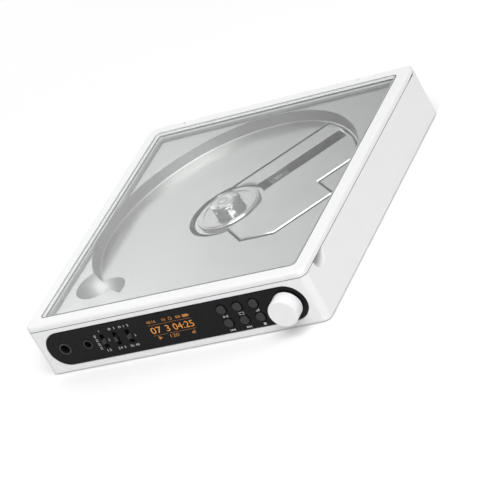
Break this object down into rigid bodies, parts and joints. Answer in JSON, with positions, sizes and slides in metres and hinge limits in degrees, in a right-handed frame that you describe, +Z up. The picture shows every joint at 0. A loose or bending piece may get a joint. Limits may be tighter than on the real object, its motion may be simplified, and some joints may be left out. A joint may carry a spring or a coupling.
{
  "type": "portable cd player",
  "caption": "Flat square portable disc player with a clear hinged lid, a round disc well, a gloss front panel with slide switches and press buttons, and a turned volume knob.",
  "frame": {"origin": "centre of the bounding box's base, on the surface the feet rest on", "axes": "+X to the player's right, +Y to its hinged back, +Z up through the lid"},
  "size_m": [0.15, 0.1656, 0.0276],
  "materials": {
    "white_plastic": "satin white",
    "clear_acrylic": "clear polished",
    "silver_paint": "silver paint",
    "gloss_black": "gloss black",
    "dark_plastic": "moulded",
    "bright_steel": "plated",
    "grey_rubber": "moulded",
    "board_green": "solder mask",
    "battery_wrap": "film wrapped",
    "ribbon_film": "film",
    "lens_glass": "coated"
  },
  "bodies": {
    "case": {"body_shell": "white_plastic", "bottom_cover": "white_plastic", "foot_front_left": "grey_rubber", "foot_back_left": "grey_rubber", "foot_front_right": "grey_rubber", "foot_back_right": "grey_rubber", "case_screw_front_left": "bright_steel", "case_screw_back_left": "bright_steel", "case_screw_front_right": "bright_steel", "case_screw_back_right": "bright_steel", "shell_magnet": "bright_steel", "hinge_pin_left": "bright_steel", "hinge_pin_right": "bright_steel", "disc_tray": "silver_paint", "mechanism_cover": "silver_paint", "mechanism_chassis": "dark_plastic", "damper_1": "grey_rubber", "damper_2": "grey_rubber", "damper_3": "grey_rubber", "spindle_motor": "dark_plastic", "guide_rod_far": "bright_steel", "guide_rod_near": "bright_steel", "sled_motor": "dark_plastic", "front_panel": "gloss_black", "display_module": "dark_plastic", "switch_body_left": "dark_plastic", "switch_body_middle": "dark_plastic", "switch_body_right": "dark_plastic", "large_jack": "dark_plastic", "small_jack": "dark_plastic", "volume_encoder": "dark_plastic", "encoder_nut": "bright_steel", "front_board": "board_green", "main_board": "board_green", "board_ribbon": "ribbon_film", "battery": "battery_wrap", "charge_socket": "bright_steel"},
    "lid": {"lid_frame": "white_plastic", "lid_window": "clear_acrylic", "lid_magnet": "bright_steel"},
    "spinner": {"turntable": "silver_paint"},
    "ball_1": {"disc_ball_1": "bright_steel"},
    "ball_2": {"disc_ball_2": "bright_steel"},
    "ball_3": {"disc_ball_3": "bright_steel"},
    "sled": {"pickup_sled": "dark_plastic"},
    "lens": {"pickup_lens": "lens_glass"},
    "screw": {"lead_screw": "bright_steel"},
    "knob": {"volume_knob": "white_plastic", "volume_shaft": "bright_steel"},
    "press_upper_left": {"button_upper_left": "gloss_black"},
    "press_upper_middle": {"button_upper_middle": "gloss_black"},
    "press_upper_right": {"button_upper_right": "gloss_black"},
    "press_lower_left": {"button_lower_left": "gloss_black"},
    "press_lower_middle": {"button_lower_middle": "gloss_black"},
    "press_lower_right": {"button_lower_right": "gloss_black"},
    "slider_left": {"switch_slider_left": "gloss_black"},
    "slider_middle": {"switch_slider_middle": "gloss_black"},
    "slider_right": {"switch_slider_right": "gloss_black"}
  },
  "joints": [
    {"name": "lid_hinge", "type": "hinge", "parent": "case", "child": "lid", "pos_m": [0, 0.08132, 0.02618], "axis": [-1, 0, 0], "range_deg": [0, 95]},
    {"name": "disc_spin", "type": "hinge", "parent": "case", "child": "spinner", "pos_m": [0, 0.00375, 0.018], "axis": [0, 0, 1], "continuous": true},
    {"name": "ball_1_press", "type": "slide", "parent": "spinner", "child": "ball_1", "axis": [-0.2588, -0.9659, 0], "range_m": [0, 0.0005], "stiffness_N_per_m": 300},
    {"name": "ball_2_press", "type": "slide", "parent": "spinner", "child": "ball_2", "axis": [0.9659, 0.2588, 0], "range_m": [0, 0.0005], "stiffness_N_per_m": 300},
    {"name": "ball_3_press", "type": "slide", "parent": "spinner", "child": "ball_3", "axis": [-0.7071, 0.7071, 0], "range_m": [0, 0.0005], "stiffness_N_per_m": 300},
    {"name": "sled_travel", "type": "slide", "parent": "case", "child": "sled", "axis": [0.7071, 0.7071, 0], "range_m": [-0.0043, 0.03]},
    {"name": "lens_focus", "type": "slide", "parent": "sled", "child": "lens", "axis": [0, 0, 1], "range_m": [-0.0003, 0.0003], "stiffness_N_per_m": 80},
    {"name": "screw_turn", "type": "hinge", "parent": "case", "child": "screw", "pos_m": [0.03854, 0.02107, 0.0113], "axis": [0.7071, 0.7071, 0], "range_deg": [-3601, 517]},
    {"name": "volume_turn", "type": "hinge", "parent": "case", "child": "knob", "pos_m": [0.06025, -0.0752, 0.01302], "axis": [0, -1, 0], "continuous": true},
    {"name": "upper_left_press", "type": "slide", "parent": "case", "child": "press_upper_left", "axis": [0, 1, 0], "range_m": [0, 0.0005], "stiffness_N_per_m": 1200},
    {"name": "upper_middle_press", "type": "slide", "parent": "case", "child": "press_upper_middle", "axis": [0, 1, 0], "range_m": [0, 0.0005], "stiffness_N_per_m": 1200},
    {"name": "upper_right_press", "type": "slide", "parent": "case", "child": "press_upper_right", "axis": [0, 1, 0], "range_m": [0, 0.0005], "stiffness_N_per_m": 1200},
    {"name": "lower_left_press", "type": "slide", "parent": "case", "child": "press_lower_left", "axis": [0, 1, 0], "range_m": [0, 0.0005], "stiffness_N_per_m": 1200},
    {"name": "lower_middle_press", "type": "slide", "parent": "case", "child": "press_lower_middle", "axis": [0, 1, 0], "range_m": [0, 0.0005], "stiffness_N_per_m": 1200},
    {"name": "lower_right_press", "type": "slide", "parent": "case", "child": "press_lower_right", "axis": [0, 1, 0], "range_m": [0, 0.0005], "stiffness_N_per_m": 1200},
    {"name": "left_switch", "type": "slide", "parent": "case", "child": "slider_left", "axis": [0, 0, 1], "range_m": [-0.00175, 0.00175]},
    {"name": "middle_switch", "type": "slide", "parent": "case", "child": "slider_middle", "axis": [0, 0, 1], "range_m": [-0.00175, 0.00175]},
    {"name": "right_switch", "type": "slide", "parent": "case", "child": "slider_right", "axis": [0, 0, 1], "range_m": [-0.00175, 0.00175]}
  ],
  "couplings": [
    {"joint": "screw_turn", "follows": "sled_travel", "rad_per_m": -2094.4}
  ]
}
